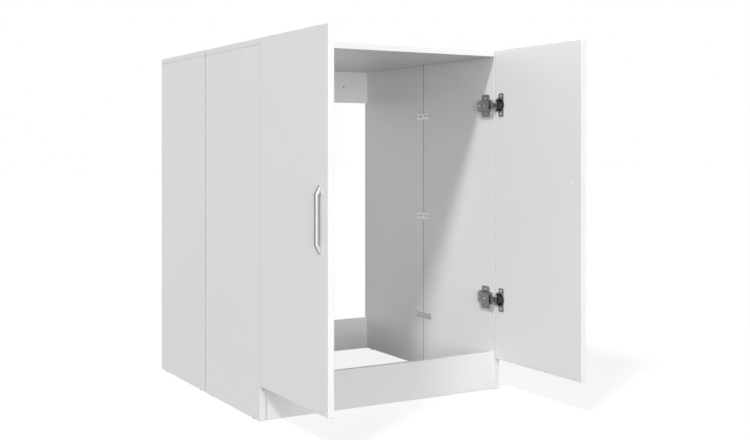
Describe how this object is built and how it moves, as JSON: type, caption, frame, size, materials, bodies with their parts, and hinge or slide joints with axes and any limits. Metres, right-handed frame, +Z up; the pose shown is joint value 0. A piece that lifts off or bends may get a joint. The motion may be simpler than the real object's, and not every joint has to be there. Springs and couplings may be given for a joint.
{
  "type": "washing machine cabinet",
  "caption": "Freestanding white cabinet with an open back, a kick board and two doors on concealed hinges, for enclosing a floor-standing household appliance.",
  "frame": {"origin": "on the floor under the centre of the bounding box of the cabinet with both doors open square", "axes": "+X to the right seen from the front, +Y from the doors to the back, +Z up"},
  "size_m": [0.73, 1.0642, 0.915],
  "materials": {
    "white_board": "white laminate on chipboard, fine matt grain, white edging",
    "handle_steel": "satin",
    "nickel_steel": "nickel plated pressed steel",
    "link_steel": "plated, lightly greased",
    "zinc_steel": "bright zinc plated",
    "cast_zinc": "rough die-cast zinc",
    "white_plastic": "satin moulded",
    "glide_plastic": "dull hard plastic",
    "beech": "fluted beech"
  },
  "bodies": {
    "carcass": {"side_panel_left_front": "white_board", "side_panel_left_rear": "white_board", "side_panel_right_front": "white_board", "side_panel_right_rear": "white_board", "top_panel_front": "white_board", "top_panel_rear": "white_board", "kick_board": "white_board", "upper_back_rail": "white_board", "lower_back_rail": "white_board", "top_cam_locks": "cast_zinc", "top_cam_bolts": "zinc_steel", "top_cam_caps": "white_plastic", "rail_cam_locks": "cast_zinc", "rail_cam_bolts": "zinc_steel", "rail_cam_caps": "white_plastic", "top_dowels": "beech", "rail_dowels": "beech", "seam_dowels": "beech", "seam_plates": "zinc_steel", "seam_plate_screws": "zinc_steel", "foot_glides": "glide_plastic", "mounting_plate_left_upper": "nickel_steel", "hinge_arm_left_upper": "nickel_steel", "mounting_plate_left_lower": "nickel_steel", "hinge_arm_left_lower": "nickel_steel", "mounting_plate_screws_left": "zinc_steel", "arm_screws_left": "zinc_steel", "link_pins_left": "link_steel", "mounting_plate_right_upper": "nickel_steel", "hinge_arm_right_upper": "nickel_steel", "mounting_plate_right_lower": "nickel_steel", "hinge_arm_right_lower": "nickel_steel", "mounting_plate_screws_right": "zinc_steel", "arm_screws_right": "zinc_steel", "link_pins_right": "link_steel"},
    "door_left": {"door_left": "white_board", "handle_left": "handle_steel", "handle_screws_left": "zinc_steel", "handle_screw_caps_left": "white_plastic", "hinge_cup_left_upper": "nickel_steel", "hinge_cup_left_lower": "nickel_steel", "cup_screws_left": "zinc_steel"},
    "door_right": {"door_right": "white_board", "handle_right": "handle_steel", "handle_screws_right": "zinc_steel", "handle_screw_caps_right": "white_plastic", "hinge_cup_right_upper": "nickel_steel", "hinge_cup_right_lower": "nickel_steel", "cup_screws_right": "zinc_steel"},
    "outer_links_left": {"outer_link_left_upper": "link_steel", "outer_link_left_lower": "link_steel"},
    "inner_links_left": {"inner_link_left_upper": "link_steel", "inner_link_left_lower": "link_steel"},
    "outer_links_right": {"outer_link_right_upper": "link_steel", "outer_link_right_lower": "link_steel"},
    "inner_links_right": {"inner_link_right_upper": "link_steel", "inner_link_right_lower": "link_steel"}
  },
  "joints": [
    {"name": "door_left_hinge", "type": "hinge", "parent": "carcass", "child": "door_left", "pos_m": [-0.34425, -0.18985, 0.507], "axis": [0, 0, -1], "range_deg": [-90, 15]},
    {"name": "outer_links_left_pivot", "type": "hinge", "parent": "carcass", "child": "outer_links_left", "pos_m": [-0.3245, -0.1829, 0.507], "axis": [0, 0, -1], "range_deg": [-3, 18]},
    {"name": "inner_links_left_pivot", "type": "hinge", "parent": "carcass", "child": "inner_links_left", "pos_m": [-0.3285, -0.1799, 0.507], "axis": [0, 0, -1], "range_deg": [-2.25, 13.5]},
    {"name": "door_right_hinge", "type": "hinge", "parent": "carcass", "child": "door_right", "pos_m": [0.34425, -0.18985, 0.507], "axis": [0, 0, 1], "range_deg": [-90, 15]},
    {"name": "outer_links_right_pivot", "type": "hinge", "parent": "carcass", "child": "outer_links_right", "pos_m": [0.3245, -0.1829, 0.507], "axis": [0, 0, 1], "range_deg": [-3, 18]},
    {"name": "inner_links_right_pivot", "type": "hinge", "parent": "carcass", "child": "inner_links_right", "pos_m": [0.3285, -0.1799, 0.507], "axis": [0, 0, 1], "range_deg": [-2.25, 13.5]}
  ],
  "couplings": [
    {"joint": "outer_links_left_pivot", "follows": "door_left_hinge", "ratio": -0.2},
    {"joint": "inner_links_left_pivot", "follows": "door_left_hinge", "ratio": -0.15},
    {"joint": "outer_links_right_pivot", "follows": "door_right_hinge", "ratio": -0.2},
    {"joint": "inner_links_right_pivot", "follows": "door_right_hinge", "ratio": -0.15}
  ]
}
